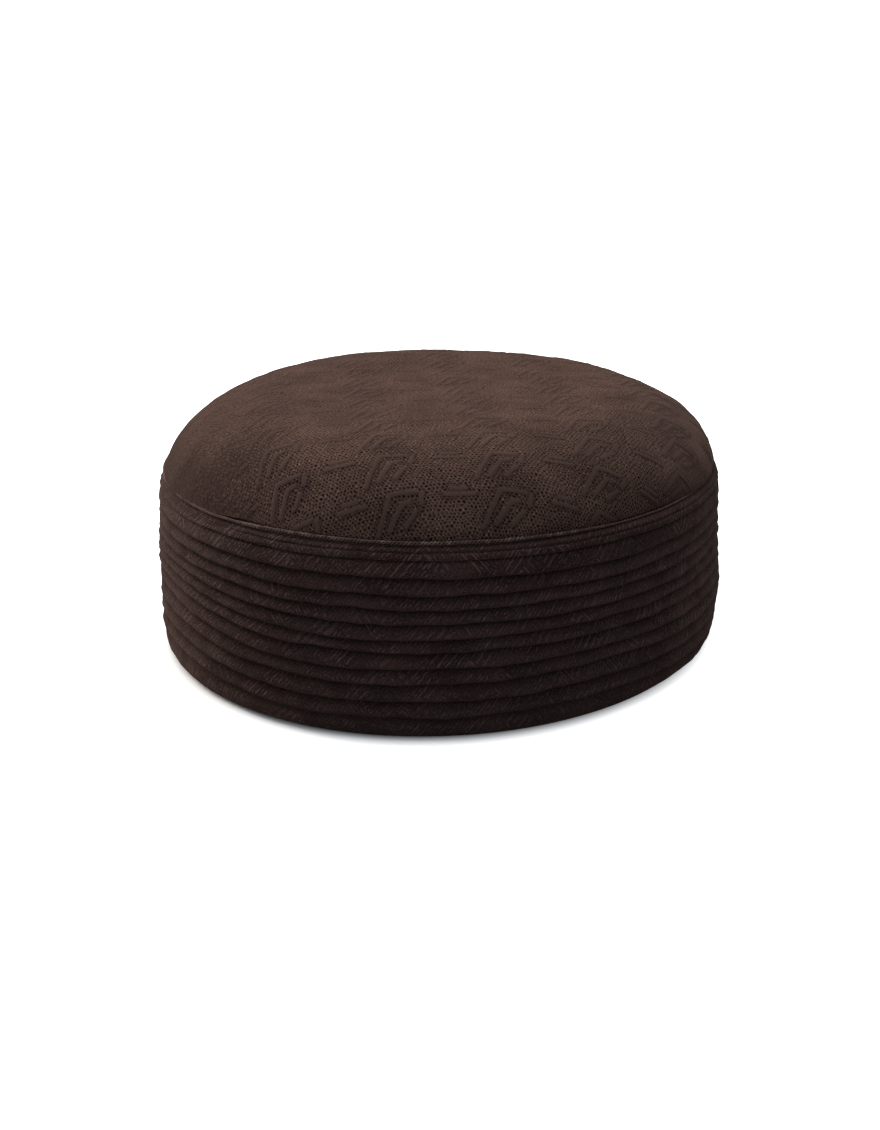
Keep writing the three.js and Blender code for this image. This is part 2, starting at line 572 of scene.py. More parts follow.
# %% Lay the band on the oval
MOVES_END = (1.7, 2.6)  # mm behind the crests, between which the moves die out
LEVEL_HEIGHTS = (0.5, 4.0, 54.6, 55.6)  # mm, the hem and the upper edge stay where they are
PUCKER = {"per_mm": 0.22, "up": 0.3, "out": 0.34}  # patches in a mm round the cap and up it, mm out
SLACK = {"per_mm": 0.045, "up": 0.06, "out": 0.5}
FILLED = [  # lines that are shallower where the seam is covered: mm filled, and mm to each side
    {"height": CREASE_HEIGHT, "fill": 0.75, "full": 0.15, "reach": 1.0},
    {"height": 54.1, "fill": 0.55, "full": 0.1, "reach": 0.6},
]
EDGE_IN = 0.7  # mm, how far the band's upper edge is held in there
EDGE_HEIGHTS = (49.0, 54.0)
DEEPER = 0.25  # share by which the tucks are deeper there
# Places round the cap: middle in degrees from the front towards +X, and how far to each side of it
# they count fully and at all. The bulge also has mm out, and the heights between which it ends.
SIDE_BULGE = {"middle": 109, "full": 24, "reach": 60, "out": 1.3, "heights": (14, 34)}
COVERED = {"middle": -86, "full": 58, "reach": 79}  # where the crown bulges over the seam
LEANING = {"middle": 82, "full": 20, "reach": 52}  # where its padding leans on the welt


def beside(angle, place):
    """1 near the middle of a place round the cap, and 0 from its reach on."""
    aside = abs(math.degrees(math.remainder(angle - math.radians(place["middle"]), 2 * math.pi)))
    return 1 - ease(aside, place["full"], place["reach"])


def to_oval(bm, lift, push):
    """Moves each point of a round ring to the oval plan, raised by lift and pushed out by push."""
    for corner in bm.verts:
        radius, angle = around(corner.co)
        height = corner.co.z
        spot = Vector((corner.co.x, corner.co.y, 0))
        out = push(radius, angle, height, spot)
        up = lift(radius, angle, height, spot)
        corner.co = oval_point(radius + out, angle, height + up)


def band_lift(radius, angle, height, spot):
    outer = 1 - ease(crest_radius(height) - radius, *MOVES_END)
    return outer * face_lift(height, angle, spot) if outer > 0 else 0.0


def uneven(spot, height, kind):
    """How far out soft noise of one kind moves the cloth, in mm."""
    patch = Vector((spot.x * kind["per_mm"], spot.y * kind["per_mm"], height * kind["up"]))
    return noise.noise(patch) * kind["out"]


def band_push(radius, angle, height, spot):
    depth = crest_radius(height) - radius
    moved = (1 - ease(depth, *MOVES_END)) * between(height, *LEVEL_HEIGHTS)
    cloth = uneven(spot, height, PUCKER) + uneven(spot, height, SLACK)
    side = beside(angle, SIDE_BULGE) * (1 - ease(height, *SIDE_BULGE["heights"])) * SIDE_BULGE["out"]
    side -= DEEPER * max(0.0, min(depth, GROOVE_DEPTH)) * beside(angle, COVERED)
    filled = 0.0
    for line in FILLED:
        away = abs(height - line["height"])
        filled += (1 - ease(away, line["full"], line["reach"])) * line["fill"]
    filled -= ease(height, *EDGE_HEIGHTS) * EDGE_IN
    return moved * (cloth + side + filled * beside(angle, COVERED))


to_oval(band_bm, band_lift, band_push)
print("band:", round(max(corner.co.y for corner in band_bm.verts) / MM, 1), "mm to the back")

# %% [markdown]
# ## A map of the cloth
# A pattern on the object's own coordinates would cut straight through the folds. This UV map holds
# millimetres of cloth instead, so the weave keeps its size and bends with every tuck. Where the strip
# comes round to its start again, each face takes the angles that are nearest to its own middle, so no
# face stretches over the whole map.

# %% Map the cloth of the band
CLOTH_MAP = "cloth"


def add_cloth_map(bm, place):
    """A UV map in mm of cloth. place gives it for a corner, near the angle of its face's middle."""
    uv = bm.loops.layers.uv.new(CLOTH_MAP)
    for face in bm.faces:
        near = around(face.calc_center_median())[1]
        for loop in face.loops:
            loop[uv].uv = place(loop.vert, near)


def girth_at(corner, near, radius):
    """Length in mm round the oval to a corner, on the turn that is nearest to an angle."""
    angle = round_angle(corner.co, radius)
    angle += 2 * math.pi * round((near - angle) / (2 * math.pi))
    return girth(radius, angle)


band_along = band_bm.verts.layers.float["along"]
section_length = max(corner[band_along] for corner in band_bm.verts)


def band_cloth(corner, near):
    return girth_at(corner, near, BAND_RADIUS), corner[band_along]


add_cloth_map(band_bm, band_cloth)
print("section of the band:", round(section_length), "mm of cloth")

# %% [markdown]
# ## The crown
# The top is a soft, padded disc: almost flat in the middle, with a round shoulder that comes down to
# the seam. A spun mesh would crowd its faces at the middle and starve the rim, where the raised bars
# show best. A square grid pressed into a disc has cells of nearly one size everywhere, so it can carry
# the bars in low relief. Two curves give the dome, and a short table turns the way along the cloth
# from the middle into a place on it.

# %% Curve of the dome
CROWN_BASE = 56.5
CROWN_RADIUS = 85.5
CROWN_RISE = 21.4
CROWN_WALL = 2.4
CROWN_FLATNESS = 7.25
CROWN_SHOULDER = 1.28
ALLOWANCE_OUTER = 83.9
ALLOWANCE_INNER = 82.4
ALLOWANCE_FOOT = 50.5
ALLOWANCE_TOP = 56.1
CURVE_STEPS = 400


def dome_curve(radius, rise):
    """Points (way along the cloth, radius, height) from the middle out to the edge, in mm."""
    curve = [(0.0, 0.0, CROWN_BASE + rise)]
    for step in range(1, CURVE_STEPS + 1):
        out = 1 - (1 - step / CURVE_STEPS) ** 2
        up = rise * max(0.0, 1 - out**CROWN_FLATNESS) ** (1 / CROWN_SHOULDER)
        way, last_radius, last_height = curve[-1]
        new = (out * radius, CROWN_BASE + up)
        way += math.hypot(new[0] - last_radius, new[1] - last_height)
        curve.append((way, *new))
    return curve


def on_curve(curve, way):
    """Radius and height of the dome at a way along the cloth from its middle."""
    index = min(bisect.bisect_left(curve, (way,)), len(curve) - 1)
    if index == 0:
        return curve[0][1:]
    (start, r0, h0), (end, r1, h1) = curve[index - 1], curve[index]
    t = min(1.0, (way - start) / (end - start))
    return r0 + (r1 - r0) * t, h0 + (h1 - h0) * t


outside = dome_curve(CROWN_RADIUS, CROWN_RISE)
inside = dome_curve(ALLOWANCE_INNER, CROWN_RISE - CROWN_WALL)
print("cloth from the middle of the crown to the seam:", round(outside[-1][0], 1), "mm")

# %% [markdown]
# ## Places on the flat cloth
# Before the cloth was bent over the dome it lay flat, and its pattern with it, turned a little against
# the cap. Each point of the crown notes its place on that flat cloth, and the pattern follows it.

# %% Lay a disc on the dome
GRAIN_TURN = math.radians(27.2)  # the weave's rows against the X axis
PATTERN_PLACE = (2.7, -0.65)  # mm, where the middle of the crown falls in a repeat
cloth_places = {}


def cloth_place(way, angle, radius):
    """Place in mm on the flat cloth of a point at a way from the middle."""
    across = way * math.sin(angle)
    back = -(way + oval_extra(radius)) * math.cos(angle)
    turn, slant = math.cos(GRAIN_TURN), math.sin(GRAIN_TURN)
    shift_u, shift_v = PATTERN_PLACE
    return across * turn + back * slant + shift_u, back * turn - across * slant + shift_v


def lay_on_dome(made, curve):
    """Puts the points of a disc on a dome and notes each one's place on the flat cloth."""
    for corner in made:
        out, angle = around(corner.co)
        way = min(1.0, out) * curve[-1][0]
        radius, height = on_curve(curve, way)
        cloth_places[corner] = cloth_place(way, angle, radius)
        corner.co = oval_point(radius, angle, height)


print("the weave is turned by", round(math.degrees(GRAIN_TURN), 1), "degrees")

# %% [markdown]
# ## Outside and inside of the crown
# The padded top has an outer cloth and, one padding's thickness below it, an inner one. Both are grids
# of the same kind, a fine one to carry the relief and a coarse one that hardly shows.

# %% Grids pressed into discs
CROWN_CELLS = 264
INSIDE_CELLS = 66
crown_bm = bmesh.new()
# painted shade: where the crown leans on the welt, and where it hangs over the seam
painted_lean_shade = crown_bm.verts.layers.float.new("leaning")  # where the crown leans on the welt
painted_shade = crown_bm.verts.layers.float.new("painted_shade")  # where it hangs over the seam


def disc_grid(bm, cells):
    """A square grid squeezed into the unit disc. Returns its new vertices."""
    made = bmesh.ops.create_grid(bm, x_segments=cells, y_segments=cells, size=1)["verts"]
    for corner in made:
        x, y = corner.co.x, corner.co.y
        corner.co.x = x * math.sqrt(1 - y * y / 2)
        corner.co.y = y * math.sqrt(1 - x * x / 2)
    return made


top_corners = disc_grid(crown_bm, CROWN_CELLS)
lay_on_dome(top_corners, outside)
top_faces = set(crown_bm.faces)
top_rim = [edge for edge in crown_bm.edges if edge.is_boundary]
under_corners = disc_grid(crown_bm, INSIDE_CELLS)
lay_on_dome(under_corners, inside)
print("crown:", len(crown_bm.faces), "faces, rim of", len(top_rim))

# %% [markdown]
# ## The seam allowance
# Under the rim the cloth is turned down inside the band, where it is sewn. The rim of the inner grid
# is extruded down, out and up again, and the last loop is bridged to the rim of the top. That closes
# the crown as one padded body, with no open edge that a light leak could find.

# %% Turn the seam allowance down
ALLOWANCE_ROUND = 0.6  # mm, at the corners of its lower edge
ALLOWANCE_STEP = 2.0  # mm of cloth from loop to loop
loop_edges = [e for e in crown_bm.edges if e.is_boundary and e not in set(top_rim)]
last_radius, way = ALLOWANCE_INNER, inside[-1][0]
for radius, height in (
    (ALLOWANCE_INNER, ALLOWANCE_FOOT + ALLOWANCE_ROUND),
    ((ALLOWANCE_INNER + ALLOWANCE_OUTER) / 2, ALLOWANCE_FOOT),
    (ALLOWANCE_OUTER, ALLOWANCE_FOOT + ALLOWANCE_ROUND),
    (ALLOWANCE_OUTER, ALLOWANCE_TOP),
):
    grown = bmesh.ops.extrude_edge_only(crown_bm, edges=loop_edges)["geom"]
    way += ALLOWANCE_STEP
    for corner in grown:
        if isinstance(corner, bmesh.types.BMVert):
            angle = round_angle(corner.co, last_radius)
            corner.co = oval_point(radius, angle, height)
            cloth_places[corner] = cloth_place(way, angle, radius)
    loop_edges = [e for e in grown if isinstance(e, bmesh.types.BMEdge) and e.is_boundary]
    last_radius = radius
bmesh.ops.bridge_loops(crown_bm, edges=loop_edges + top_rim)
bmesh.ops.recalc_face_normals(crown_bm, faces=crown_bm.faces[:])
for face in crown_bm.faces:
    face.material_index = 0 if face in top_faces else INNER_SIDE
print("open edges left:", sum(edge.is_boundary for edge in crown_bm.edges))

# %% [markdown]
# ## The padding's bulges and the fold
# The padding under the cloth is thicker in some places than in others. On the wearer's right it bulges
# over the seam in a soft fold. A cloth simulation could drape it, but would lose the fitted outline
# elsewhere, so the lowest few millimetres are moved out and a little down in code. These functions say
# by how much.

# %% Bulges and the fold
BULGES = [  # places round the cap, with mm out and mm over the seam
    {"middle": 109, "full": 20, "reach": 50, "out": 1.3, "top": 20},
    {"middle": -125, "full": 18, "reach": 45, "out": 1.1, "top": 40},
]
BULGE_FULL = 0.25  # share of a bulge's height up to which it stands out fully
MIDDLE_CALM = 10.0  # mm from the axis, inside which nothing differs from side to side
MIDDLE_REACH = 50.0  # outside which it differs fully
FOLD_OUT = 2.2  # mm
FOLD_OUT_HEIGHTS = (0.0, 1.6, 4.0, 13.5)  # mm over the seam, where it swells and where it ends
FOLD_DOWN = 2.5
FOLD_DOWN_HEIGHTS = (0.5, 2.0, 2.6, 10.0)


def bulge_at(angle, height):
    """How far the padding stands out, in mm, at an angle from the front and a height over the seam."""
    total = 0.0
    for bulge in BULGES:
        low = 1 - ease(height, bulge["top"] * BULGE_FULL, bulge["top"])
        total += beside(angle, bulge) * low * bulge["out"]
    return total


def off_middle(x, y):
    """0 at the crown's middle, where all the sides meet, and 1 well away from it."""
    return ease(math.hypot(x, y), MIDDLE_CALM, MIDDLE_REACH)


def fold_at(angle, height):
    """How far the cloth hangs over the seam, as mm out and mm down."""
    near = beside(angle, COVERED)
    out = between(height, *FOLD_OUT_HEIGHTS) * FOLD_OUT
    down = between(height, *FOLD_DOWN_HEIGHTS) * FOLD_DOWN
    return near * out, near * down


fullest = fold_at(math.radians(COVERED["middle"]), FOLD_DOWN_HEIGHTS[1])
print("the fold hangs", [round(move, 1) for move in fullest], "mm out and down")

# %% [markdown]
# ## Raise the bars
# The bars of the pattern are woven a little proud of the ground, by a fraction of a millimetre. A bump
# map alone would leave the mesh smooth, so they and the padding's unevenness push the fine grid out
# along the surface's own direction. The flat top then sits a millimetre aside, as on any handmade cap.
# Each point also notes how much painted shade it gets where it hangs over the seam or leans on the
# welt.

# %% Raise the bars
BAR_RISE = 0.15  # mm
BAR_SLOPE = (0.35, 0.95)  # mm from a bar's middle line, where it begins to fall and where it ends
FLAT_HEIGHTS = (66, 82)  # mm, between which the bars come back above the fold, where they lie flat
PADDING = [  # patches of noise in a mm, mm out, and the layer of the noise
    {"per_mm": 0.035, "out": 0.7, "layer": 3.0},
    {"per_mm": 0.11, "out": 0.28, "layer": 8.0},
]
RIM_FADE = 3.0  # mm from the seam, where the relief dies out
# painted shade: how far up the fold it darkens the cloth, and where the crown leans on the welt
SHADE_HIGH = 26.0  # mm over the seam, how far up the cloth of the fold is darker
LEAN_LOW = 1.0  # the same where the crown leans on the welt, from here up
LEAN_HIGH = 10.0
LEAN_SHADE = 0.65
TOP_ASIDE = Vector((-1.0, -0.35, 0))  # mm
TOP_FROM = 8.0  # mm over the seam, from where the shoulder follows it
TOP_TO = 18.0

crown_bm.normal_update()
rises = []
for corner in top_corners:
    u, v = cloth_places[corner]
    x, y, height = corner.co / MM
    angle = math.atan2(x, -y)
    hanging = off_middle(x, y) * beside(angle, COVERED) * (1 - ease(height, *FLAT_HEIGHTS))
    raised = BAR_RISE * (1 - ease(from_bars(u, v), *BAR_SLOPE)) * (1 - hanging)
    padding = 0.0
    for patch in PADDING:
        spot = Vector((x * patch["per_mm"], y * patch["per_mm"], patch["layer"]))
        padding += noise.noise(spot) * patch["out"]
    near_seam = 1 - ease(height, CROWN_BASE, CROWN_BASE + RIM_FADE)
    bulge = off_middle(x, y) * bulge_at(angle, height - CROWN_BASE)
    rises.append((raised + padding) * (1 - near_seam) + bulge)
for corner, rise in zip(top_corners, rises):
    x, y, height = corner.co / MM
    angle = math.atan2(x, -y)
    # painted shade of the fold over the seam and of the padding that leans on the welt
    shaded = beside(angle, COVERED) * (1 - ease(height, CROWN_BASE, CROWN_BASE + SHADE_HIGH))
    corner[painted_shade] = off_middle(x, y) * shaded
    low = 1 - ease(height, CROWN_BASE + LEAN_LOW, CROWN_BASE + LEAN_HIGH)
    corner[painted_lean_shade] = LEAN_SHADE * beside(angle, LEANING) * low
    out, down = fold_at(angle, height - CROWN_BASE)
    aside = Vector((x, y, 0)).normalized() * out
    aside += TOP_ASIDE * ease(height, CROWN_BASE + TOP_FROM, CROWN_BASE + TOP_TO)
    corner.co += (corner.normal * rise + aside - Vector((0, 0, down))) * MM
print("relief from", round(min(rises), 2), "to", round(max(rises), 2), "mm")

# %% [markdown]
# ## The welt
# The seam between crown and band is edged with a thin cord of the same yarn. At this size its twist is
# its whole character: light strokes that lean one way along the seam. A spun ring gives the cord, and
# its section, two strands side by side, is turned a little further at each step round the cap. Where
# the crown bulges over the seam the cord is squeezed out and down, and at the other side it sinks in.

# %% Twist the welt
WELT_HEIGHT = 56.55
WELT_RADIUS = 86.35
WELT_HALF = 0.55
WELT_SIDES = 8
WELT_STEPS = 4608
STRAND_DEPTH = 0.34
TWISTS = 520  # strokes of the two strands round the cap
WELT_SINK = 0.35  # mm, in and down, where the crown's padding leans on it
WELT_OUT = 0.5  # mm, how far the fold over the seam squeezes the welt out
WELT_DOWN = 0.25
LEAN_THINNER = 0.4  # share by which the welt is thinner where the padding leans on it
FOLD_THINNER = 0.15
WELT_UNEVEN = {"per_mm": 0.3, "reach": 0.25}  # patches of noise in a mm, share of its thickness
WELT_WANDER = {"per_mm": 0.06, "reach": 0.25}  # the same, but mm up or down
WELT_SHADE = 0.8

circle = [2 * math.pi * side / WELT_SIDES for side in range(WELT_SIDES)]
welt_section = [
    (WELT_HEIGHT + WELT_HALF * math.sin(a), WELT_RADIUS + WELT_HALF * math.cos(a)) for a in circle
]
welt_bm = ring_bmesh(welt_section, WELT_STEPS)
strand_gap = welt_bm.verts.layers.float.new("strand_gap")
painted_shade = welt_bm.verts.layers.float.new("painted_shade")


def welt_point(corner):
    """Notes a point's shade and gives its place on the oval, in metres."""
    radius, angle = around(corner.co)
    turned = math.atan2(corner.co.z - WELT_HEIGHT, radius - WELT_RADIUS)
    gap = (1 - math.cos(2 * turned - TWISTS * angle)) / 2
    corner[strand_gap] = gap
    spot = Vector((corner.co.x, corner.co.y, 0))
    thicker = 1 + WELT_UNEVEN["reach"] * noise.noise(spot * WELT_UNEVEN["per_mm"])
    half = WELT_HALF * (1 - STRAND_DEPTH * gap) * thicker
    leaning = beside(angle, LEANING)
    under = beside(angle, COVERED)
    # painted shade where the crown leans on the cord or hangs over it
    corner[painted_shade] = WELT_SHADE * max(leaning, under)
    half *= 1 - LEAN_THINNER * leaning - FOLD_THINNER * under
    out = WELT_OUT * under - WELT_SINK * leaning
    wander = noise.noise(spot * WELT_WANDER["per_mm"]) * WELT_WANDER["reach"]
    down = WELT_DOWN * under + WELT_SINK * leaning + wander
    return oval_point(
        WELT_RADIUS + out + half * math.cos(turned),
        angle,
        WELT_HEIGHT - down + half * math.sin(turned),
    )


for corner in welt_bm.verts:
    corner.co = welt_point(corner)
print("welt:", len(welt_bm.faces), "faces")

# %% [markdown]
# ## From bmesh to objects
# A bmesh is only a working copy. Each one is written to a mesh, shaded smooth, and given to an object
# that stays at the origin, unturned, so that its place is in its points as a CAD node's is.

# %% Make the objects
def cloth_object(bm, name, node, materials):
    """The finished piece of a bmesh, in the place of a CAD node."""
    mesh = bpy.data.meshes.new(name)
    bm.to_mesh(mesh)
    bm.free()
    mesh.shade_smooth()
    for material in materials:
        mesh.materials.append(material)
    piece = add_object(name, mesh)
    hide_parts(node)
    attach(piece, "root")
    print(name, len(mesh.vertices), "points")
    return piece


add_cloth_map(crown_bm, lambda corner, near: cloth_places[corner])
add_cloth_map(welt_bm, lambda corner, near: (girth_at(corner, near, WELT_RADIUS), 0.0))
print("crown and welt have their cloth maps")

# %% [markdown]
# ## Woven materials
# Cloth this dark shows itself by its relief and its sheen more than by its colour. One class starts
# each material: a Principled shader, a slow change of tone over the cloth and a quick one from yarn to
# yarn. What differs, the pits and bars of the crown or the slanting yarns of the band, is added as
# numbers between 0 and 1 that darken the colour and press the bump map in.

# %% Start of a cloth material
SHEEN_ROUGHNESS = 0.5
CLOTH_SPECULAR = 0.02


def mix_colours(factor, first, second, how="MIX"):
    settings = {"data_type": "RGBA", "blend_type": how}
    inputs = {0: factor, 6: first, 7: second}
    return factor.node("ShaderNodeMix", settings, inputs, output=2)


class Cloth:
    """A material in the making: its shader, its place on the cloth in mm, and what presses it in."""

    def __init__(self, name, roughness, sheen, sheen_tint):
        self.material = bpy.data.materials.new(name)
        self.material.use_nodes = True
        tree = self.material.node_tree
        self.shader = tree.nodes["Principled BSDF"]
        start = Signal(tree, None)
        self.place = start.node("ShaderNodeUVMap", {"uv_map": CLOTH_MAP}, {})
        self.u = self.place.part("X")
        self.v = self.place.part("Y")
        self.object = start.node("ShaderNodeTexCoord", {}, {}, output="Object")
        self.shader.inputs["Roughness"].default_value = roughness
        self.shader.inputs["Sheen Weight"].default_value = sheen
        self.shader.inputs["Sheen Roughness"].default_value = SHEEN_ROUGHNESS
        self.shader.inputs["Sheen Tint"].default_value = (*sheen_tint, 1)
        self.shader.inputs["Specular IOR Level"].default_value = CLOTH_SPECULAR
        self.tree = tree

    def clouds(self, per_mm, detail=2.0, where=None):
        """Soft noise between 0 and 1, with about so many patches in a millimetre."""
        place = where or self.place
        inputs = {"Vector": place, "Scale": per_mm, "Detail": detail}
        return place.node("ShaderNodeTexNoise", {}, inputs)

    def wobble(self, per_mm, reach, detail=1.0):
        """The place on the cloth, shifted a little by soft noise, as two signals in mm."""
        inputs = {"Vector": self.place, "Scale": per_mm, "Detail": detail}
        shift = self.place.node("ShaderNodeTexNoise", {}, inputs, output="Color")
        shift_u, shift_v = shift.part("X") - 0.5, shift.part("Y") - 0.5
        return self.u + shift_u * (2 * reach), self.v + shift_v * (2 * reach)

    def attribute(self, name):
        return self.place.node("ShaderNodeAttribute", {"attribute_name": name}, {}, output="Fac")

    def finish(self, colour, height, depth):
        """Links the colour, and a bump of height (0 to 1) that is depth mm deep."""
        inputs = {"Strength": 1.0, "Distance": depth * MM, "Height": height}
        bump = height.node("ShaderNodeBump", {}, inputs)
        self.tree.links.new(colour.socket, self.shader.inputs["Base Color"])
        self.tree.links.new(bump.socket, self.shader.inputs["Normal"])
        return self.material


def rgba(red, green, blue):
    return (red, green, blue, 1.0)


print("each cloth's pattern reads the UV map", CLOTH_MAP)

# %% [markdown]
# ## The weave of the crown
# Close up, the ground is a net of dark pits with a light thread showing beside some of them. The bars
# are smooth, and the ground is darker along their edges, which is what makes them readable from afar;
# that darkness is partly the weave and partly painted shade of the bars' relief, weaker on the flat
# top.
# Towards the sides the weave is stretched shut, and where the crown hangs over the seam it is mottled.
# An image of cloth would need a seam somewhere. Here each part of the weave is a mask between 0 and 1,
# made from distances on the flat cloth, and the bars lie where they already are in the mesh.

# %% Masks of the crown's cloth
BAR_EDGE = (0.5, 0.9)  # mm from a bar's middle line, between which it ends
BESIDE_END = (1.2, 2.3)  # the same for the darker ground beside it
PIT_EDGE = (0.2, 0.46)  # mm from the middle of a pit
SPECK_EDGE = (0.1, 0.38)
FLAT_TOP = (66 * MM, 77 * MM)  # heights between which the shoulder turns into the flat top
STRETCHED = (52, 80)  # mm across the cloth from its middle, between which the weave closes

crown_look = Cloth("crown cloth", 0.9, 0.05, (1.0, 0.62, 0.5))
grain = crown_look.clouds(2.4)
to_bar = from_bars(*crown_look.wobble(0.6, 0.25)) + (grain - 0.5) * 0.9
# painted shade of the fold over the seam, which also calms the weave and brings out mottles there
hanging = crown_look.attribute("painted_shade")
calm = 1 - share(hanging * 1.5) * 0.7
bar = (1 - ease(to_bar, *BAR_EDGE)) * calm
flat_top = ease(crown_look.object.part("Z"), *FLAT_TOP)
# darker ground beside the bars: partly the weave, partly painted shade of their relief, weaker on the
# flat top
beside_bar = between(to_bar, *BAR_EDGE, *BESIDE_END) * calm * (1 - flat_top * 0.45)
ground = 1 - bar
u, v = crown_look.wobble(0.22, 1.5, 3.0)
open_weave = 1 - ease(root(crown_look.u * crown_look.u), *STRETCHED) * 0.6
pit = (1 - ease(from_pits(u, v), *PIT_EDGE)) * ground
pit = pit * (0.45 + ease(crown_look.clouds(0.75), 0.35, 0.6) * 0.55) * open_weave
speck = (1 - ease(from_pits(u + 0.5, v + 0.2), *SPECK_EDGE)) * ground
speck = speck * ease(crown_look.clouds(0.9), 0.5, 0.62) * open_weave
mottle = ease(crown_look.clouds(0.8, 2.0), 0.46, 0.56) * share(hanging * 3.0)
print("masks of the crown's cloth:", len(crown_look.tree.nodes), "nodes")

# %% [markdown]
# ## The colours of the crown
# Each mask mixes one colour into what lies under it, from the ground up. The shade of the fold over the
# seam, and of the padding where it leans on the welt, is multiplied in instead, because that darkens
# the weave without hiding it.

# %% Colours of the crown's cloth
GROUND_DARK = rgba(0.052, 0.0296, 0.0236)
GROUND_LIGHT = rgba(0.104, 0.0610, 0.0468)
BAR_COLOUR = rgba(0.058, 0.0360, 0.0310)
DEEP_BROWN = rgba(0.0205, 0.0123, 0.0114)
SHADED_TINT = rgba(0.50, 0.47, 0.47)
PIT_COLOUR = rgba(0.002, 0.0012, 0.0012)
SPECK_COLOUR = rgba(0.26, 0.175, 0.150)
TONES = (0.36, 0.64)  # of the slow noise, between which the cloth turns from dark to light
BUMP_DEPTH = 0.25  # mm

tone = crown_look.clouds(0.06) * 0.4 + crown_look.clouds(1.1) * 0.3 + grain * 0.3
colour = mix_colours(ease(tone, *TONES), GROUND_DARK, GROUND_LIGHT)
colour = mix_colours(beside_bar * 0.4, colour, DEEP_BROWN)
colour = mix_colours(bar * 0.65, colour, BAR_COLOUR)
colour = mix_colours(pit, colour, PIT_COLOUR)
colour = mix_colours(speck * 0.5, colour, SPECK_COLOUR)
# painted shade of the fold and of the padding that leans on the welt
colour = mix_colours(hanging, colour, SHADED_TINT, how="MULTIPLY")
colour = mix_colours(crown_look.attribute("leaning"), colour, SHADED_TINT, how="MULTIPLY")
colour = mix_colours(mottle * 0.6, colour, DEEP_BROWN)
relief = bar * 0.5 - pit * 0.6 + speck * 0.35 + grain * 0.5 - mottle * 0.5
crown_material = crown_look.finish(colour, relief, BUMP_DEPTH)
print("crown cloth:", len(crown_look.tree.nodes), "nodes")

# %% [markdown]
# ## The strokes of the band
# On the band the same cloth runs across the tucks, and only its fine yarns can be told: short light
# strokes that lean one way in one patch and the other way in the next, now and then in a group of
# long ones, with single light flecks between them. Two waves along slanting lines make the strokes,
# and soft noise breaks them up. The wide top row, which no tuck has pulled tight, shows them best.

# %% Masks of the band's cloth
STROKE_PITCH = 1.3  # mm from one short stroke to the next
LONG_PITCH = 2.5
STROKE_LEAN = 0.8  # mm along the band for each mm up it
TOP_ROW = (46.5 * MM, 48.5 * MM)  # heights between which the wide row begins

band_look = Cloth("band cloth", 0.9, 0.06, (1.0, 0.62, 0.5))
u, v = band_look.wobble(0.55, 0.45)
rising, falling = u - v * STROKE_LEAN, u + v * STROKE_LEAN
patch = ease(band_look.clouds(0.11, 1.0), 0.38, 0.44)


def leaning_strokes(pitch):
    """A wave that leans one way inside the patches and the other way outside them."""
    return wave(rising / pitch) * patch + wave(falling / pitch) * (1 - patch)


short = ease(leaning_strokes(STROKE_PITCH), 0.2, 0.95) * ease(band_look.clouds(0.75), 0.42, 0.62)
long = ease(leaning_strokes(LONG_PITCH), 0.5, 0.95) * ease(band_look.clouds(0.12), 0.5, 0.62)
shown = 0.3 + ease(band_look.clouds(0.13), 0.42, 0.58) * 0.6
untucked = ease(band_look.object.part("Z"), *TOP_ROW)
stroke = share((short * shown + long * 0.5) * (1 + untucked * 0.6))
grain = band_look.clouds(1.8)
fleck = ease(band_look.clouds(2.6, 1.0), 0.6, 0.74) * (1 + untucked)
print("masks of the band's cloth:", len(band_look.tree.nodes), "nodes")

# %% [markdown]
# ## The colours of the band
# A slow noise warms the dark ground in places. The grooves are darkened with painted shade, by how far
# each point of the mesh lies behind the crests, most of all on the wearer's right. On the wearer's left
# painted shade makes the wide top row dimmer than the lights alone would make it.

# %% Colours of the band's cloth
BAND_LIGHT = rgba(0.0480, 0.0298, 0.0265)
STROKE_COLOUR = rgba(0.135, 0.0870, 0.0790)
WARM_TINT = rgba(1.03, 0.965, 0.95)
# painted shade for the grooves
GROOVE_SHADE = rgba(0.004, 0.0025, 0.0024)
# the painted shade in the grooves grows stronger towards the wearer's right
GROOVE_SIDE = (45 * MM, 65 * MM)  # to the wearer's right, between which the grooves grow darker
# painted shade on the wide top row, growing towards the wearer's left
TOP_ROW_SHADE_SIDE = (30 * MM, 65 * MM)  # to the wearer's left, between which the wide row grows dimmer

tone = band_look.clouds(0.07) * 0.35 + grain * 0.65
warmth = ease(band_look.clouds(0.05, 1.0), 0.4, 0.6)
aside = band_look.object.part("X")
# painted shade in the grooves, by depth behind the crests, stronger on the wearer's right
behind = band_look.attribute("hollow") * (0.66 + ease(-1 * aside, *GROOVE_SIDE) * 0.3)
# painted shade on the wide top row, on the wearer's left
top_row_shade = untucked * ease(aside, *TOP_ROW_SHADE_SIDE)
colour = mix_colours(ease(tone, *TONES), DEEP_BROWN, BAND_LIGHT)
colour = mix_colours(warmth, colour, WARM_TINT, how="MULTIPLY")
colour = mix_colours(stroke * 0.74, colour, STROKE_COLOUR)
colour = mix_colours(fleck * 0.45, colour, STROKE_COLOUR)
colour = mix_colours(behind, colour, GROOVE_SHADE)
colour = mix_colours(top_row_shade * 0.55, colour, SHADED_TINT, how="MULTIPLY")
relief = stroke * 0.6 + grain * 0.6 + fleck * 0.3
band_material = band_look.finish(colour, relief, BUMP_DEPTH)
print("band cloth:", len(band_look.tree.nodes), "nodes")

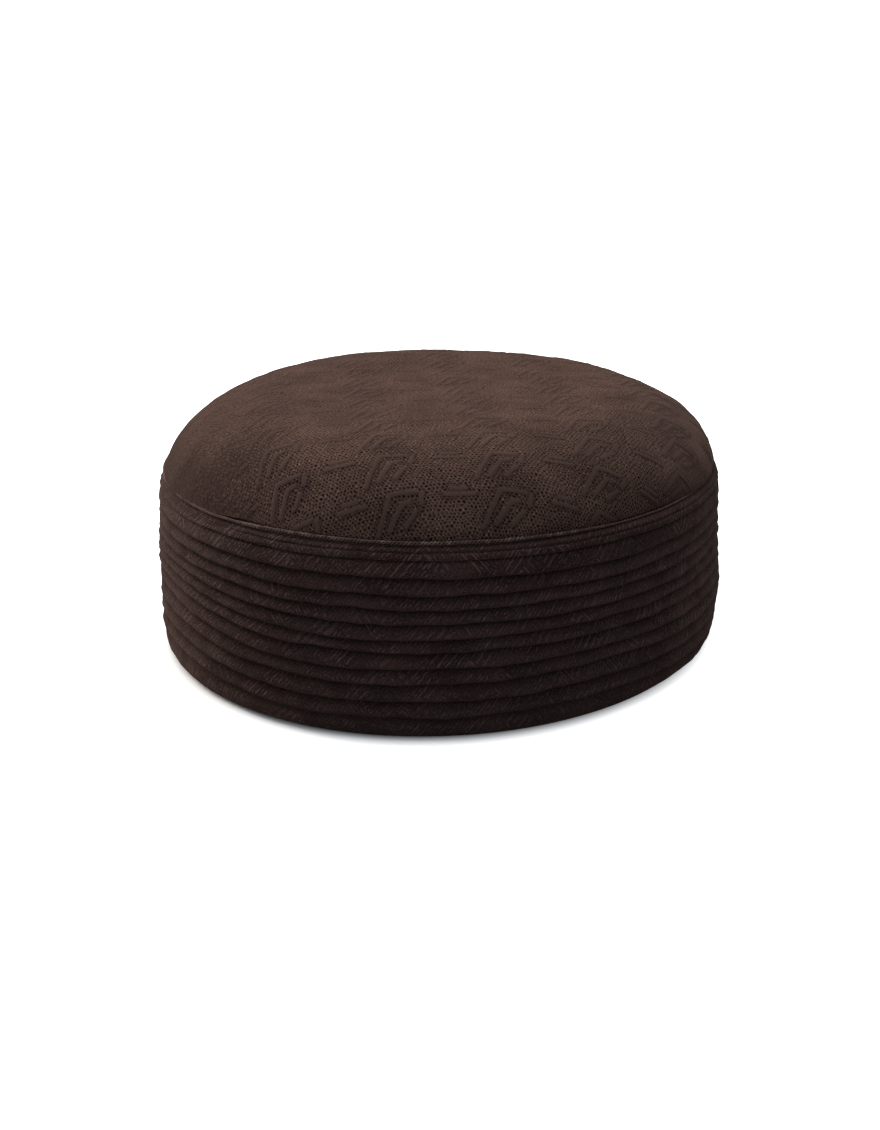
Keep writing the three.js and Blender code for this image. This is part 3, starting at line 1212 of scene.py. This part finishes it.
# %% [markdown]
# ## The welt's yarn
# The cord catches more light than the cloth because it stands proud of it, and its yarn colours are
# lighter than the cloth's as painted light for that. Its two strands are already in the mesh, so the
# material darkens the gap between them with painted shade, frays the yarn with fine noise and lets
# some stretches look worn. Where the crown leans over the cord or hangs over it, painted shade gives
# it the crown's dark tone.

# %% Welt yarn
# lighter than the cloth's colours: painted light for what the proud cord catches
YARN_DARK = rgba(0.060, 0.0390, 0.0350)
YARN_LIGHT = rgba(0.175, 0.1180, 0.1080)
# painted shade between the two strands
GAP_SHADE = rgba(0.006, 0.0040, 0.0036)
YARN_BUMP = 0.1  # mm

welt_look = Cloth("welt yarn", 0.8, 0.2, (1.0, 0.7, 0.6))
fray = welt_look.clouds(900.0, 3.0, welt_look.object)
tone = welt_look.clouds(500.0, 2.0, welt_look.object)
worn = ease(welt_look.clouds(150.0, 1.0, welt_look.object), 0.42, 0.58)
gap = ease(welt_look.attribute("strand_gap"), 0.35, 0.9)
colour = mix_colours(ease(tone, 0.38, 0.66), YARN_DARK, YARN_LIGHT)
colour = mix_colours(worn * 0.6, colour, GROUND_DARK)
colour = mix_colours(gap * 0.85, colour, GAP_SHADE)
# painted shade where the crown leans on the cord or hangs over it
colour = mix_colours(welt_look.attribute("painted_shade") * 0.8, colour, GROUND_DARK)
welt_material = welt_look.finish(colour, fray, YARN_BUMP)
print("welt yarn:", len(welt_look.tree.nodes), "nodes")

# %% [markdown]
# ## The wrong side
# Inside the cap only the back of the same cloth can be seen. It has a plain, even weave without the
# pattern, so two crossed waves are enough for it.

# %% Wrong side of the cloth
RIB_PITCH = 0.7  # mm
BACKING_DARK = rgba(0.016, 0.011, 0.010)
BACKING_LIGHT = rgba(0.028, 0.019, 0.017)
BACKING_BUMP = 0.15  # mm

backing = Cloth("wrong side of the cloth", 0.9, 0.15, (1.0, 0.8, 0.7))
rib = wave(backing.u / RIB_PITCH) * wave(backing.v / RIB_PITCH)
tone = backing.clouds(0.05) * 0.5 + backing.clouds(1.5) * 0.5
colour = mix_colours(ease(tone, 0.3, 0.7), BACKING_DARK, BACKING_LIGHT)
relief = rib * 0.4 + backing.clouds(2.0) * 0.4
backing_material = backing.finish(colour, relief, BACKING_BUMP)
print("materials:", [material.name for material in bpy.data.materials])

# %% [markdown]
# ## Three pieces in the frame
# Each mesh takes the place of one solid of the CAD model and rides on the same root. The band and the
# crown have two materials, for the right side and the wrong side of their cloth.

# %% Put the pieces in place
band = cloth_object(band_bm, "tucked_band", "band", [band_material, backing_material])
crown = cloth_object(
    crown_bm, "padded_crown", "crown", [crown_material, backing_material]
)
welt = cloth_object(welt_bm, "twisted_welt", "seam_welt", [welt_material])

# %% [markdown]
# ## The pieces of the real cap
# The crown is lightly padded. The band is one strip, cut about 0.6 m long and half as wide again as
# it ends up, because the tucks take it in. The welt is sewn on to it.

# %% [markdown]
# ## The floor
# The cap stands on a white table in front of white. One large square is enough for it, and it is no
# part of the cap.

# %% Floor
FLOOR_HALF = 6.0  # metres
floor_bm = bmesh.new()
bmesh.ops.create_grid(floor_bm, x_segments=1, y_segments=1, size=FLOOR_HALF)
floor_mesh = bpy.data.meshes.new("floor")
floor_bm.to_mesh(floor_mesh)
floor_bm.free()
floor = add_object("floor", floor_mesh)
print("floor:", 2 * FLOOR_HALF, "m wide")

# %% [markdown]
# ## White without a grey edge
# A floor of plain white comes out grey where the light falls off, and it throws light up at the cap
# from below. Here the floor adds a little light of its own to what the camera sees of it, and is darker
# to every other ray. That light fades in outwards from the hem, so the narrow contact shadow round the
# cap is partly cast by the lamps and partly painted.

# %% White table
# the floor's own light is left out near the hem: a painted contact shadow, set a little off the cap's
# middle
GLOW_EDGE = (83 * MM, 94 * MM)  # from the cap's middle, between which the floor's own light comes up
GLOW_OVAL = 0.77  # squares of the oval's width over its length
GLOW_MIDDLE = (-2.0 * MM, -1.5 * MM)
WHITE_TO_OTHER_RAYS = rgba(0.4, 0.4, 0.4)
WHITE_IN_VIEW = rgba(0.9, 0.9, 0.9)
GLOW_COLOUR = rgba(0.95, 0.95, 0.95)


def light_path(tree, name):
    return Signal(tree, tree.nodes.new("ShaderNodeLightPath").outputs[name])


white = bpy.data.materials.new("white table")
white.use_nodes = True
white_shader = white.node_tree.nodes["Principled BSDF"]
white_shader.inputs["Roughness"].default_value = 0.9
white_shader.inputs["Specular IOR Level"].default_value = 0.1
white_shader.inputs["Emission Strength"].default_value = 1.0
seen = light_path(white.node_tree, "Is Camera Ray")
bright = mix_colours(seen, WHITE_TO_OTHER_RAYS, WHITE_IN_VIEW)
white.node_tree.links.new(bright.socket, white_shader.inputs["Base Color"])
spot = seen.node("ShaderNodeTexCoord", {}, {}, output="Object")
x = spot.part("X") - GLOW_MIDDLE[0]
y = spot.part("Y") - GLOW_MIDDLE[1]
out = root(x * x + y * y * GLOW_OVAL)
glow = mix_colours(seen * ease(out, *GLOW_EDGE), rgba(0, 0, 0), GLOW_COLOUR)
white.node_tree.links.new(glow.socket, white_shader.inputs["Emission Color"])
floor_mesh.materials.append(white)
print("white table:", len(white.node_tree.nodes), "nodes")

# %% [markdown]
# ## Three soft lights
# Dark cloth needs light that grazes it. A large warm light hangs above and a little behind, so that the
# crown is brightest at the back and the bars cast small shades forward. Two smaller ones stand low, a
# strong one at the left and a weak one at the right behind the cap, and light the band's sides. A dim,
# cool sky fills the front.

# %% Sky and lights
SKY_STRENGTH = 1.3
SKY_COLOUR = rgba(0.258, 0.285, 0.32)
LOW_AIM = (0, 0, 0.04)  # metres
HIGH_AIM = (0, 0, 0.05)

world = bpy.data.worlds.new("studio")
world.use_nodes = True
bpy.context.scene.world = world
sky = world.node_tree.nodes["Background"]
sky.inputs["Strength"].default_value = SKY_STRENGTH
in_view = light_path(world.node_tree, "Is Camera Ray")
brightness = mix_colours(in_view, SKY_COLOUR, rgba(1, 1, 1))
world.node_tree.links.new(brightness.socket, sky.inputs["Color"])


def soft_light(name, place, aim, width, watts, colour):
    """A square lamp of a width in metres, turned from its place towards an aim."""
    lamp = bpy.data.lights.new(name, "AREA")
    lamp.shape = "SQUARE"
    lamp.size = width
    lamp.energy = watts
    lamp.color = colour
    holder = add_object(name, lamp)
    holder.location = place
    holder.rotation_euler = (Vector(place) - Vector(aim)).to_track_quat("Z", "Y").to_euler()


soft_light("top_light", (-0.3, 0.12, 1.0), HIGH_AIM, 1.2, 10.5, (1.0, 0.98, 0.94))
soft_light("left_light", (-1.02, 0.2, 0.42), LOW_AIM, 0.5, 12.6, (1.0, 0.90, 0.80))
soft_light("right_light", (0.5, 0.95, 0.15), LOW_AIM, 0.3, 1.2, (1.0, 0.88, 0.76))
bpy.context.scene.view_settings.view_transform = "Standard"
print("lights:", [lamp.name for lamp in bpy.data.lights])

# %% Update the scene
bpy.context.view_layer.update()
